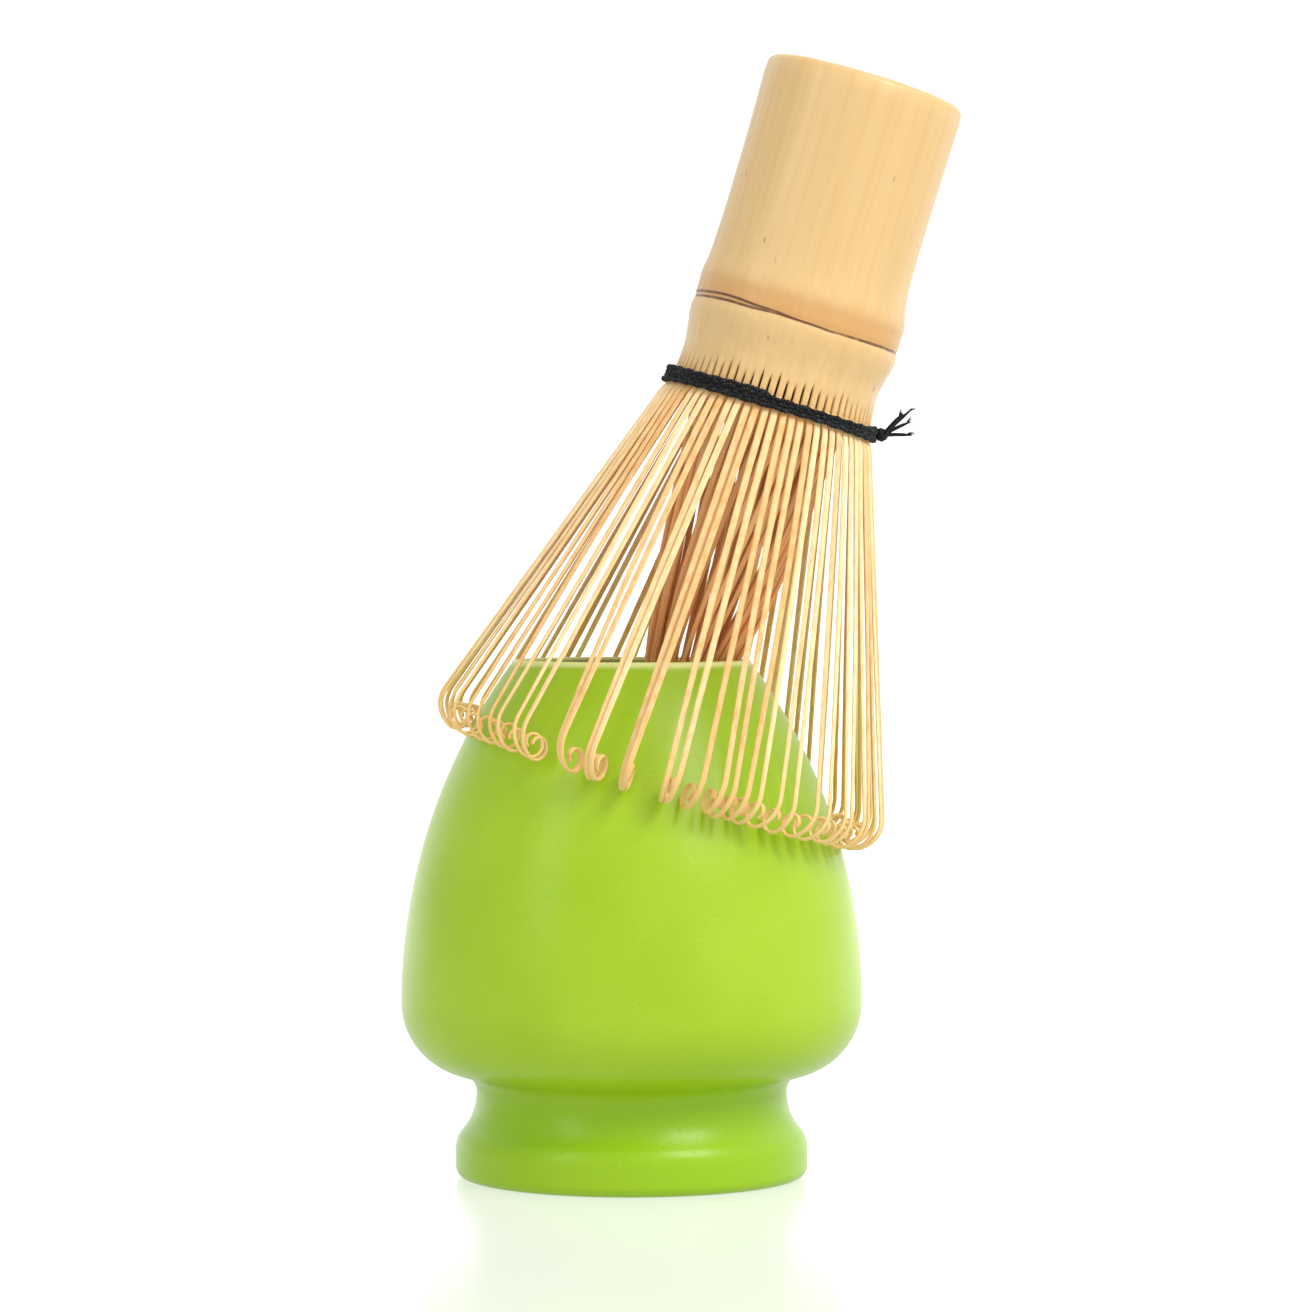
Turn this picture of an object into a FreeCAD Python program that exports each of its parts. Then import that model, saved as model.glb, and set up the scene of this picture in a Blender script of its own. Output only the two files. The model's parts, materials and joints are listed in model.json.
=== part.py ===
"""Bamboo tea whisk standing on its glazed whisk holder.

Millimetres, +Z up, origin at the centre of the holder's foot on the table. The whisk
has a frame of its own, with z = 0 at the binding thread and +z towards the handle's
end, and leans in the holder towards +X.
"""
import FreeCAD, Part
import math
import os

import Sketcher
from FreeCAD import Placement, Rotation, Vector

DIMENSIONS = {
    # holder, measured from the table
    "HolderHeight": 75.0,
    "RimRadius": 17.4,
    "LipThickness": 1.0,
    "BellyRadius": 33.4,
    "BellyHeight": 25.4,
    "UnderbellyRadius": 10.6,
    "WaistRadius": 22.5,
    "WaistHeight": 12.4,
    "FootRadius": 25.5,
    "FootHeight": 4.2,
    "FootFlareRadius": 4.0,
    "FootEdgeRadius": 1.6,
    "FootRingWidth": 4.5,
    "FootRecessDepth": 1.5,
    "FloorThickness": 3.5,
    "FloorCornerRadius": 2.5,
    "HolderWall": 3.2,
    # how the whisk stands in the holder
    "WhiskLean": 16.6,
    "RimClearance": 0.3,
    "BundleDepth": 15.6,
    "SeatClearance": 0.55,
    # culm, measured from the binding thread
    "HandleRadius": 14.4,
    "HandleEnd": 48.8,
    "HandleEdgeRound": 1.0,
    "CulmWall": 3.7,
    "NodeHeight": 12.2,
    "NodeRise": 0.9,
    "NodeWidth": 8.0,
    "DiaphragmThickness": 3.0,
    "NeckFlare": 0.35,
    "NeckEnd": 1.2,
    # outer tines
    "OuterTineCount": 72,
    "SectorCount": 12,
    "RootStep": 0.25,
    "RootGap": 0.3,
    "RootHold": 1.5,
    "RootBendRadius": 3.0,
    "TineSpread": 19.0,
    "TineStraight": 53.3,
    "TineThickness": 0.45,
    "SlitGap": 0.32,
    "TipBendRadius": 4.5,
    "TipBendTurn": 75.0,
    "CurlRadius": 1.9,
    "CurlTurn": 190.0,
    "CurlPitch": 0.6,
    "InnerCurlTurn": 170.0,
    # inner tines
    "InnerTineCount": 48,
    "InnerGroupCount": 8,
    "InnerRootStep": 0.8,
    "InnerTipRadius": 4.9,
    "InnerTipDepth": 52.0,
    "InnerTineThickness": 0.5,
    "InnerSlitGap": 0.18,
    # binding thread
    "ThreadDiameter": 0.54,
    "ThreadRounds": 4,
    "ThreadRoundsBelow": 1,
    "ThreadLay": 0.03,
    "ThreadGap": 0.2,
    "KnotRadius": 1.0,
    "TailCount": 4,
    "TailLength": 4.5,
    "TailDiameter": 0.4,
    "TailSlant": 40.0,
    "TailFan": 23.0,
    "TailSpread": 56.0,
}

# what fits together takes its size from the same cells
BORE = "Sizes.HandleRadius - Sizes.CulmWall"
NECK = "Sizes.HandleRadius + Sizes.NeckFlare"
OUTER_ROOT = f"{NECK} + Sizes.RootStep"
INNER_ROOT = f"{BORE} + Sizes.InnerRootStep"
TINE_WIDTH = (
    f"2 * ({OUTER_ROOT} - Sizes.TineThickness) * tan(180 deg / Sizes.OuterTineCount)"
    " - Sizes.SlitGap"
)
THREAD_LINE = f"{OUTER_ROOT} + Sizes.ThreadGap + Sizes.ThreadDiameter / 2"

doc = FreeCAD.newDocument("TeaWhisk")
sheet = doc.addObject("Spreadsheet::Sheet", "Sizes")
for row, (alias, value) in enumerate(DIMENSIONS.items(), start=1):
    sheet.set(f"A{row}", alias)
    sheet.set(f"B{row}", str(value))
    sheet.setAlias(f"B{row}", alias)
doc.recompute()


def size(alias):
    """The number held in one cell of the sheet."""
    return float(sheet.get(alias))


def bind(target, **expressions):
    """Binds properties of an object to expressions on the sheet's cells."""
    for name, expression in expressions.items():
        target.setExpression(name, expression)


# ---------------------------------------------------------------- sizes that fit each other

def bore_radius():
    return size("HandleRadius") - size("CulmWall")


def neck_radius():
    return size("HandleRadius") + size("NeckFlare")


def outer_root_radius():
    """Outer face of the outer tines under the thread."""
    return neck_radius() + size("RootStep")


def inner_root_radius():
    """Outer face of the inner tines where they leave the culm's inner wall."""
    return bore_radius() + size("InnerRootStep")


def inner_tine_width(outer_face_radius):
    """Width that leaves the slit's gap between neighbours at their inner faces."""
    half_pitch = math.radians(180 / size("InnerTineCount"))
    inner_face = outer_face_radius - size("InnerTineThickness")
    return 2 * inner_face * math.tan(half_pitch) - size("InnerSlitGap")


def thread_pitch():
    return size("ThreadDiameter") + size("ThreadLay")


def thread_line_radius():
    """Radius of the bound thread's centre line, just clear of the tines' roots."""
    return outer_root_radius() + size("ThreadGap") + size("ThreadDiameter") / 2


# ---------------------------------------------------------------- sketch helpers

def new_body(label):
    body = doc.addObject("PartDesign::Body", label)
    body.Label = label
    body.AllowCompound = True
    return body


def origin_feature(body, role):
    return next(item for item in body.Origin.OriginFeatures if item.Role == role)


def new_sketch(body, role, offset=Placement()):
    sketch = body.newObject("Sketcher::SketchObject", f"{body.Name}_outline")
    sketch.AttachmentSupport = [(origin_feature(body, role), "")]
    sketch.MapMode = "FlatFace"
    sketch.AttachmentOffset = offset
    return sketch


def line(start, end):
    return Part.LineSegment(Vector(*start, 0), Vector(*end, 0))


def arc(centre, radius, from_angle, to_angle):
    """Circular arc, anticlockwise between two angles in degrees."""
    circle = Part.Circle(Vector(*centre, 0), Vector(0, 0, 1), radius)
    return Part.ArcOfCircle(circle, math.radians(from_angle), math.radians(to_angle))


def polar(centre, radius, angle):
    turn = math.radians(angle)
    return (centre[0] + radius * math.cos(turn), centre[1] + radius * math.sin(turn))


def add_closed(sketch, curves):
    """Adds curves that follow each other round a closed outline and joins their ends."""
    indices = [sketch.addGeometry(curve) for curve in curves]
    ends = [(curve.StartPoint, curve.EndPoint) for curve in curves]
    for here, ahead in zip(indices, indices[1:] + indices[:1]):
        pairs = [(a, b) for a in (0, 1) for b in (0, 1)]
        gap, near, far = min(
            (ends[here][a].distanceToPoint(ends[ahead][b]), a + 1, b + 1) for a, b in pairs
        )
        if gap > 1e-6:
            raise ValueError(f"{sketch.Name}: outline is open by {gap:.4f} mm at curve {here}")
        sketch.addConstraint(Sketcher.Constraint("Coincident", here, near, ahead, far))
    return indices


def fix(sketch, kind, where, value, expression):
    """Adds a dimension to a sketch and binds it to the sheet."""
    index = sketch.addConstraint(Sketcher.Constraint(kind, *where, value))
    sketch.setExpression(f"Constraints[{index}]", expression)


def revolve(body, sketch):
    turn = body.newObject("PartDesign::Revolution", f"{body.Name}_turned")
    turn.Profile = sketch
    turn.ReferenceAxis = (sketch, ["V_Axis"])
    turn.Angle = 360.0
    sketch.Visibility = False
    return turn


def pad(body, sketch, length, both_sides=False, inwards=False):
    raised = body.newObject("PartDesign::Pad", f"{body.Name}_pad")
    raised.Profile = sketch
    bind(raised, Length=length)
    raised.Midplane = both_sides
    raised.Reversed = inwards
    return raised


def repeat_round(body, feature, count, angle):
    pattern = body.newObject("PartDesign::PolarPattern", f"{body.Name}_round")
    pattern.Originals = [feature]
    pattern.Axis = (origin_feature(body, "Z_Axis"), [""])
    bind(pattern, Occurrences=count, Angle=angle)
    body.Tip = pattern
    return pattern


# ---------------------------------------------------------------- holder

def arc_to_vertical(start, tip):
    """Centre and radius of the arc through start that is upright where it reaches tip."""
    run = tip[0] - start[0]
    rise = start[1] - tip[1]
    radius = (run**2 + rise**2) / (2 * run)
    return (tip[0] - radius, tip[1]), radius


def holder_outline():
    """Half section of the slip-cast holder, in radius and height."""
    height, rim, lip = size("HolderHeight"), size("RimRadius"), size("LipThickness")
    belly, belly_z, under = size("BellyRadius"), size("BellyHeight"), size("UnderbellyRadius")
    waist, waist_z, wall = size("WaistRadius"), size("WaistHeight"), size("HolderWall")
    foot, foot_z, edge = size("FootRadius"), size("FootHeight"), size("FootEdgeRadius")
    flare = size("FootFlareRadius")
    lip_z = height - lip / 2

    # outside: long wall, underbelly, waist, flared foot, rounded foot edge
    wall_centre, wall_radius = holder_wall()
    wall_angle = math.degrees(math.atan2(lip_z - belly_z, rim - wall_centre[0]))
    under_centre = (belly - under, belly_z)
    # the waist's hollow touches the underbelly and is upright at the waist
    reach = under_centre[0] - waist
    drop = under_centre[1] - waist_z
    hollow = (drop**2 + reach**2 - under**2) / (2 * (under + reach))
    hollow_centre = (waist + hollow, waist_z)
    join = math.degrees(math.atan2(waist_z - under_centre[1], hollow_centre[0] - under_centre[0]))
    # below the waist a hollow flare meets the rounded foot
    fall = waist_z - foot_z
    step = foot - waist
    scoop = (fall**2 + step**2 - 2 * flare * step) / (2 * step)
    scoop_centre = (waist + scoop, waist_z)
    flare_centre = (foot - flare, foot_z)
    meet = math.degrees(math.atan2(waist_z - foot_z, scoop_centre[0] - flare_centre[0]))
    ring_in = foot - edge - size("FootRingWidth")
    recess = size("FootRecessDepth")

    # inside: follows the outside at the wall's thickness, down to a flat floor
    mouth = rim - lip
    inner_belly, inner_waist = belly - wall, waist - wall
    inner_centre, inner_radius = arc_to_vertical((mouth, lip_z), (inner_belly, belly_z))
    inner_angle = math.degrees(math.atan2(lip_z - belly_z, mouth - inner_centre[0]))
    floor_z = recess + size("FloorThickness")
    corner = size("FloorCornerRadius")
    corner_centre = (inner_waist - corner, floor_z + corner)

    return [
        arc((rim - lip / 2, lip_z), lip / 2, 0, 180),
        arc(wall_centre, wall_radius, 0, wall_angle),
        arc(under_centre, under, join, 0),
        arc(hollow_centre, hollow, 180 + join, 180),
        arc(scoop_centre, scoop, 180, 180 + meet),
        arc(flare_centre, flare, 0, meet),
        line((foot, foot_z), (foot, edge)),
        arc((foot - edge, edge), edge, -90, 0),
        line((foot - edge, 0), (ring_in, 0)),
        line((ring_in, 0), (ring_in, recess)),
        line((ring_in, recess), (0, recess)),
        line((0, recess), (0, floor_z)),
        line((0, floor_z), (corner_centre[0], floor_z)),
        arc(corner_centre, corner, -90, 0),
        line((inner_waist, corner_centre[1]), (inner_waist, waist_z)),
        arc(hollow_centre, hollow + wall, 180 + join, 180),
        arc(under_centre, under - wall, join, 0),
        arc(inner_centre, inner_radius, 0, inner_angle),
    ]


def make_holder():
    """One-piece pot with an open mouth, a closed floor and a ring foot."""
    body = new_body("holder_body")
    sketch = new_sketch(body, "XZ_Plane")
    add_closed(sketch, holder_outline())
    lip, wall, under, foot_line, ring_line = 0, 1, 2, 6, 9
    floor_line, waist_line, inner_wall = 12, 14, 17
    fix(sketch, "Radius", (lip,), size("LipThickness") / 2, "Sizes.LipThickness / 2")
    fix(sketch, "Radius", (under,), size("UnderbellyRadius"), "Sizes.UnderbellyRadius")
    fix(sketch, "DistanceX", (-1, 1, wall, 1), size("BellyRadius"), "Sizes.BellyRadius")
    fix(sketch, "DistanceX", (-1, 1, wall, 2), size("RimRadius"), "Sizes.RimRadius")
    fix(sketch, "DistanceY", (-1, 1, wall, 1), size("BellyHeight"), "Sizes.BellyHeight")
    fix(sketch, "DistanceX", (-1, 1, foot_line, 1), size("FootRadius"), "Sizes.FootRadius")
    fix(sketch, "DistanceY", (-1, 1, foot_line, 1), size("FootHeight"), "Sizes.FootHeight")
    recess = size("FootRecessDepth")
    fix(sketch, "DistanceY", (-1, 1, ring_line, 2), recess, "Sizes.FootRecessDepth")
    floor_z = recess + size("FloorThickness")
    fix(
        sketch, "DistanceY", (-1, 1, floor_line, 1), floor_z,
        "Sizes.FootRecessDepth + Sizes.FloorThickness",
    )
    for curve, outside in ((waist_line, "WaistRadius"), (inner_wall, "BellyRadius")):
        inside = size(outside) - size("HolderWall")
        expression = f"Sizes.{outside} - Sizes.HolderWall"
        fix(sketch, "DistanceX", (-1, 1, curve, 1), inside, expression)
    revolve(body, sketch)
    return body


# ---------------------------------------------------------------- how the whisk is seated

def holder_wall():
    """Centre and radius of the holder's outer wall, upright at the belly."""
    rim_point = (size("RimRadius"), size("HolderHeight") - size("LipThickness") / 2)
    return arc_to_vertical(rim_point, (size("BellyRadius"), size("BellyHeight")))


def whisk_frame():
    """The leaning whisk's own frame: its inner bundle hangs in the mouth, against the rim.

    The bundle's side lies RimClearance from the rim's rounded lip on +X, and its tips
    reach BundleDepth below the lip, measured along that side.
    """
    turn = Rotation(Vector(0, 1, 0), size("WhiskLean"))
    root = turn.multVec(Vector(inner_root_radius(), 0, size("NeckEnd")))
    tip = turn.multVec(Vector(size("InnerTipRadius"), 0, -size("InnerTipDepth")))
    along = (tip - root).normalize()
    outwards = Vector(-along.z, 0, along.x)
    lip = size("LipThickness") / 2
    lip_centre = Vector(size("RimRadius") - lip, 0, size("HolderHeight") - lip)
    beside = (lip_centre - root).dot(outwards) - lip - size("RimClearance")
    below = (lip_centre - tip).dot(along) + size("BundleDepth")
    return Placement(outwards * beside + along * below, turn)


def turned(angle):
    """A turn about the whisk's axis."""
    return Placement(Vector(), Rotation(Vector(0, 0, 1), angle))


def splayed(angle):
    """A swing outwards about the thread, for a tine that lies on +X."""
    root_point = Vector(outer_root_radius(), 0, 0)
    return Placement(Vector(), Rotation(Vector(0, 1, 0), -angle), root_point)


# ---------------------------------------------------------------- culm

def make_handle():
    """Length of culm: hollow above its node, closed by the node's diaphragm."""
    body = new_body("handle")
    radius, end, bevel = size("HandleRadius"), size("HandleEnd"), size("HandleEdgeRound")
    bore, node, width = bore_radius(), size("NodeHeight"), size("NodeWidth")
    neck, neck_end, rise = neck_radius(), size("NeckEnd"), size("NodeRise")
    half = size("DiaphragmThickness") / 2
    crest = Vector(radius + rise, node, 0)
    above = Vector(radius, node + width / 2, 0)
    below = Vector(neck, node - width / 2, 0)
    sketch = new_sketch(body, "XZ_Plane")
    add_closed(sketch, [
        line((neck, neck_end), (neck, node - width / 2)),
        Part.Arc(below, crest, above),
        line((radius, node + width / 2), (radius, end - bevel)),
        arc((radius - bevel, end - bevel), bevel, 0, 90),
        line((radius - bevel, end), (bore, end)),
        line((bore, end), (bore, node + half)),
        line((bore, node + half), (0, node + half)),
        line((0, node + half), (0, node - half)),
        line((0, node - half), (bore, node - half)),
        line((bore, node - half), (bore, neck_end)),
        line((bore, neck_end), (neck, neck_end)),
    ])
    neck_line, side_line, edge, end_line, bore_line = 0, 2, 3, 4, 5
    fix(sketch, "DistanceX", (-1, 1, neck_line, 1), neck, NECK)
    fix(sketch, "DistanceY", (-1, 1, neck_line, 1), neck_end, "Sizes.NeckEnd")
    fix(sketch, "DistanceX", (-1, 1, side_line, 1), radius, "Sizes.HandleRadius")
    fix(sketch, "DistanceX", (-1, 1, side_line, 2), radius, "Sizes.HandleRadius")
    fix(sketch, "Radius", (edge,), bevel, "Sizes.HandleEdgeRound")
    fix(sketch, "DistanceY", (-1, 1, end_line, 1), end, "Sizes.HandleEnd")
    fix(sketch, "DistanceX", (-1, 1, bore_line, 1), bore, BORE)
    fix(sketch, "DistanceX", (-1, 1, bore_line, 2), bore, BORE)
    revolve(body, sketch)
    body.Placement = whisk_frame()
    return body


# ---------------------------------------------------------------- outer tines

def root_bend():
    """Centre of the bend that turns a tine outwards below the thread."""
    foot = size("NeckEnd") - size("RootGap") - size("RootHold")
    return (outer_root_radius() + size("RootBendRadius"), foot)


def tip_arcs():
    """Centre, radius and angles of the ever tighter arcs that curl a tine's tip inwards."""
    facing = size("TineSpread")
    start = polar(root_bend(), size("RootBendRadius"), 180 + facing)
    point = polar(start, size("TineStraight"), facing - 90)
    curl = size("CurlRadius")
    bends = [
        (size("TipBendRadius"), size("TipBendTurn")),
        (curl, size("CurlTurn")),
        (curl - size("CurlPitch"), size("InnerCurlTurn")),
    ]
    arcs = []
    for radius, turn in bends:
        centre = polar(point, radius, facing + 180)
        arcs.append((centre, radius, facing - turn, facing))
        facing -= turn
        point = polar(centre, radius, facing)
    return arcs


def tine_outline():
    """Side view of one outer tine: upright root, long straight, bend and curled tip.

    Walks down the outer face and comes back along the inner face, which is a parallel
    curve, so every bend is a pair of arcs about one centre.
    """
    thick, spread, bend = size("TineThickness"), size("TineSpread"), size("RootBendRadius")
    radius, top = outer_root_radius(), size("NeckEnd") - size("RootGap")
    bend_centre = root_bend()
    faces = []
    for depth in (0, thick):
        start = polar(bend_centre, bend + depth, 180 + spread)
        faces.append([
            line((radius - depth, top), (radius - depth, bend_centre[1])),
            arc(bend_centre, bend + depth, 180, 180 + spread),
            line(start, polar(start, size("TineStraight"), spread - 90)),
        ])
        for centre, curl, end_angle, start_angle in tip_arcs():
            faces[-1].append(arc(centre, curl - depth, end_angle, start_angle))
    centre, curl, end_angle, _ = tip_arcs()[-1]
    end_face = line(polar(centre, curl, end_angle), polar(centre, curl - thick, end_angle))
    root_face = line((radius - thick, top), (radius, top))
    return faces[0] + [end_face] + faces[1][::-1] + [root_face]


def curl_reach(frame, offsets):
    """Least distance of the curls' middles from the centre of the holder wall's arc."""
    (wall_x, wall_z), _ = holder_wall()
    middle = tip_arcs()[1][0]
    reaches = []
    for offset in offsets:
        curl = (frame * turned(offset)).multVec(Vector(middle[0], 0, middle[1]))
        reaches.append(math.hypot(math.hypot(curl.x, curl.y) - wall_x, curl.z - wall_z))
    return min(reaches)


def shoulder_splay(frame, offsets):
    """Swing that the holder's shoulder gives to tines that would else lie closer to it."""
    least = holder_wall()[1] + size("CurlRadius") + size("SeatClearance")
    low, high = 0.0, 90 - size("TineSpread")
    if curl_reach(frame, offsets) >= least:
        return low
    while high - low > 1e-6:
        middle = (low + high) / 2
        if curl_reach(frame * splayed(middle), offsets) < least:
            low = middle
        else:
            high = middle
    return high


def make_tine_sector(index):
    """One sector of the ring of outer tines, cut from the culm's outer wall."""
    body = new_body(f"outer_tines_{index + 1:02d}")
    sketch = new_sketch(body, "XZ_Plane")
    add_closed(sketch, tine_outline())
    root, bend, straight, tip_bend, curl, inner_curl = range(6)
    fix(sketch, "DistanceX", (-1, 1, root, 1), outer_root_radius(), OUTER_ROOT)
    fix(sketch, "Radius", (bend,), size("RootBendRadius"), "Sizes.RootBendRadius")
    fix(sketch, "Distance", (straight,), size("TineStraight"), "Sizes.TineStraight")
    fix(sketch, "Radius", (tip_bend,), size("TipBendRadius"), "Sizes.TipBendRadius")
    fix(sketch, "Radius", (curl,), size("CurlRadius"), "Sizes.CurlRadius")
    tight = size("CurlRadius") - size("CurlPitch")
    fix(sketch, "Radius", (inner_curl,), tight, "Sizes.CurlRadius - Sizes.CurlPitch")
    tine = pad(body, sketch, TINE_WIDTH, both_sides=True)
    pitch = 360 / size("OuterTineCount")
    per_sector = size("OuterTineCount") / size("SectorCount")
    repeat_round(
        body, tine, "Sizes.OuterTineCount / Sizes.SectorCount",
        "(Sizes.OuterTineCount / Sizes.SectorCount - 1) * 360 / Sizes.OuterTineCount",
    )
    first = -pitch * (per_sector - 1) / 2
    frame = whisk_frame() * turned(index * 360 / size("SectorCount"))
    splay = shoulder_splay(frame, [first + pitch * step for step in range(int(per_sector))])
    body.Placement = frame * splayed(splay) * turned(first)
    return body


# ---------------------------------------------------------------- inner tines

def make_inner_group(index):
    """A group of the finer inner tines, which close to a bundle towards their tips."""
    body = new_body(f"inner_tines_{index + 1}")
    top = size("NeckEnd")
    drop = top + size("InnerTipDepth")
    inwards = inner_root_radius() - size("InnerTipRadius")
    slope = math.degrees(math.atan2(inwards, drop))
    length = math.hypot(drop, inwards)
    place = Placement(Vector(0, top, inner_root_radius()), Rotation(Vector(1, 0, 0), slope))
    sketch = new_sketch(body, "YZ_Plane", place)
    wide = inner_tine_width(inner_root_radius()) / 2
    narrow = inner_tine_width(size("InnerTipRadius")) / 2
    add_closed(sketch, [
        line((-wide, 0), (wide, 0)),
        line((wide, 0), (narrow, -length)),
        line((narrow, -length), (-narrow, -length)),
        line((-narrow, -length), (-wide, 0)),
    ])
    pitch_tangent = "tan(180 deg / Sizes.InnerTineCount)"
    root_edge, tip_edge = 0, 2
    for edge, width, outer_face in (
        (root_edge, 2 * wide, INNER_ROOT), (tip_edge, 2 * narrow, "Sizes.InnerTipRadius")
    ):
        inner_face = f"({outer_face} - Sizes.InnerTineThickness)"
        expression = f"2 * {inner_face} * {pitch_tangent} - Sizes.InnerSlitGap"
        fix(sketch, "Distance", (edge,), width, expression)
    tine = pad(body, sketch, "Sizes.InnerTineThickness", inwards=True)
    pitch = 360 / size("InnerTineCount")
    repeat_round(
        body, tine, "Sizes.InnerTineCount / Sizes.InnerGroupCount",
        "(Sizes.InnerTineCount / Sizes.InnerGroupCount - 1) * 360 / Sizes.InnerTineCount",
    )
    start = index * 360 / size("InnerGroupCount") + pitch / 2
    body.Placement = whisk_frame() * turned(start)
    return body


# ---------------------------------------------------------------- binding thread

def make_thread_round(index):
    """One round of the binding thread over the roots of the outer tines."""
    label = f"thread_round_{index + 1}"
    ring = doc.addObject("Part::Torus", label)
    ring.Label = label
    bind(ring, Radius1=THREAD_LINE, Radius2="Sizes.ThreadDiameter / 2")
    step = index - size("ThreadRoundsBelow")
    rise = Placement(Vector(0, 0, step * thread_pitch()), Rotation())
    ring.Placement = whisk_frame() * rise
    return ring


def knot_centre():
    outside = thread_line_radius() + size("ThreadDiameter") / 2 + size("ThreadGap")
    return Vector(outside + size("KnotRadius"), 0, thread_pitch())


def make_knot():
    """The binding thread's knot, on the side the whisk leans to."""
    knot = doc.addObject("Part::Sphere", "thread_knot")
    knot.Label = "thread_knot"
    bind(knot, Radius="Sizes.KnotRadius")
    knot.Placement = whisk_frame() * Placement(knot_centre(), Rotation())
    return knot


def make_tails():
    """The trimmed ends of the thread, fanning up and out of the knot."""
    tails = []
    clear = size("KnotRadius") + size("ThreadGap")
    last = size("TailCount") - 1
    for number in range(int(size("TailCount"))):
        tail = doc.addObject("Part::Cylinder", f"tail_{number + 1}")
        bind(tail, Radius="Sizes.TailDiameter / 2", Height="Sizes.TailLength")
        # from -1 at one side of the fan to 1 at the other
        step = 2 * number / last - 1
        side = Rotation(Vector(1, 0, 0), -size("TailSpread") * step)
        rise = Rotation(Vector(0, 1, 0), size("TailSlant") + size("TailFan") * step)
        aim = side.multiply(rise)
        foot = knot_centre() + aim.multVec(Vector(0, 0, clear))
        tail.Placement = Placement(foot, aim)
        tails.append(tail)
    group = doc.addObject("Part::Compound", "thread_tails")
    group.Label = "thread_tails"
    group.Links = tails
    group.Placement = whisk_frame()
    return group


# ---------------------------------------------------------------- the whole set

def build():
    nodes = [make_holder(), make_handle()]
    nodes += [make_tine_sector(index) for index in range(int(size("SectorCount")))]
    nodes += [make_inner_group(index) for index in range(int(size("InnerGroupCount")))]
    nodes += [make_thread_round(index) for index in range(int(size("ThreadRounds")))]
    nodes += [make_knot(), make_tails()]
    return nodes


def check(nodes):
    """Stops if anything in the document failed or a sub-part has no sound solid."""
    for item in doc.Objects:
        if "Invalid" in item.State or "Error" in item.State:
            raise RuntimeError(f"{item.Label}: {item.State}")
    for node in nodes:
        if node.Shape.isNull() or not node.Shape.isValid() or not node.Shape.Solids:
            raise RuntimeError(f"{node.Label}: no valid solid")
        print(f"{node.Label}: {len(node.Shape.Solids)} solids, {node.Shape.Volume:.2f} mm3")


subparts = build()
doc.recompute()
check(subparts)
os.makedirs("parts", exist_ok=True)
for subpart in subparts:
    subpart.Shape.exportStep(f"parts/{subpart.Label}.step")
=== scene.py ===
"""Looks of a bamboo tea whisk standing on its glazed holder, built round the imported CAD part.

Shapes are made in millimetres at the bench and set into the row frame, in metres, when they
are done. The whisk is shaped upright about its own axis, with z = 0 at the binding thread,
and then leant over as one.
"""
import json
import logging
import math
import random
from dataclasses import dataclass
from enum import Enum
from typing import Callable, Sequence

import bmesh
import bpy
import numpy as np
from mathutils import Matrix, Vector, noise


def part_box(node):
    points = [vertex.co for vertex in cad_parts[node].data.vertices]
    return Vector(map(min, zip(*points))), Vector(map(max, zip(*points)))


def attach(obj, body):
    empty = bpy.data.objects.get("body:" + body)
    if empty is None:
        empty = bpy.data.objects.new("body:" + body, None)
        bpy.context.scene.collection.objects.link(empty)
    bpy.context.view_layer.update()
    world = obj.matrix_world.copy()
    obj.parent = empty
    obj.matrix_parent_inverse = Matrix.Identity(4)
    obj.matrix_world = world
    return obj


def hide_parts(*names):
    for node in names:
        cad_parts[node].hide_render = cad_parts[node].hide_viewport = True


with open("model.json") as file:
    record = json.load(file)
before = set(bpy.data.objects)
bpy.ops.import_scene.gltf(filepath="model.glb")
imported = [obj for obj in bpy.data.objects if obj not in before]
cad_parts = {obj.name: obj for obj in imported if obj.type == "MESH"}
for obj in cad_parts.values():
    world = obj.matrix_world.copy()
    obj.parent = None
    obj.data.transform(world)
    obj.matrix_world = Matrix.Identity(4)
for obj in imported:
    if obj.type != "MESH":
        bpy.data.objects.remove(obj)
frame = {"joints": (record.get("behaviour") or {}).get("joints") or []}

logging.basicConfig(level=logging.INFO, format="%(message)s")
log = logging.getLogger("tea_whisk")

MM = 0.001
Point = tuple[float, float]


class Slot(Enum):
    """Material slots of the part's record."""

    GLAZE = "glaze"
    SKIN = "bamboo_skin"
    TINE = "bamboo_tine"
    INNER = "inner_bamboo"
    THREAD = "binding_thread"


class Face(Enum):
    """Faces of a split tine, in the order of their materials."""

    SHAVED = 0
    SPLIT = 1


# ---- small sums

def smooth(low: float, high: float, value: float) -> float:
    """Soft step: 0 at low, 1 at high and an S-curve between."""
    share = min(1.0, max(0.0, (value - low) / (high - low)))
    return share * share * (3 - 2 * share)


def along_table(table: Sequence[Point], where: np.ndarray | float) -> np.ndarray | float:
    """Reads a table of (place, value) rows, ordered by place, straight between the rows."""
    places, values = zip(*table)
    return np.interp(where, places, values)


def arc_points(centre: Point, radius: float, start: float, end: float, steps: int) -> list[Point]:
    """Points of an arc after its first one, in the (radius, height) plane; angles in degrees."""
    turns = [math.radians(start + (end - start) * step / steps) for step in range(1, steps + 1)]
    return [(centre[0] + radius * math.cos(t), centre[1] + radius * math.sin(t)) for t in turns]


def turned(
    first: np.ndarray, second: np.ndarray, angle: np.ndarray | float
) -> tuple[np.ndarray, np.ndarray]:
    """Turns two coordinates towards the second one, by an angle in radians."""
    cos, sin = np.cos(angle), np.sin(angle)
    return first * cos - second * sin, first * sin + second * cos


# ---- bench work on meshes

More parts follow.
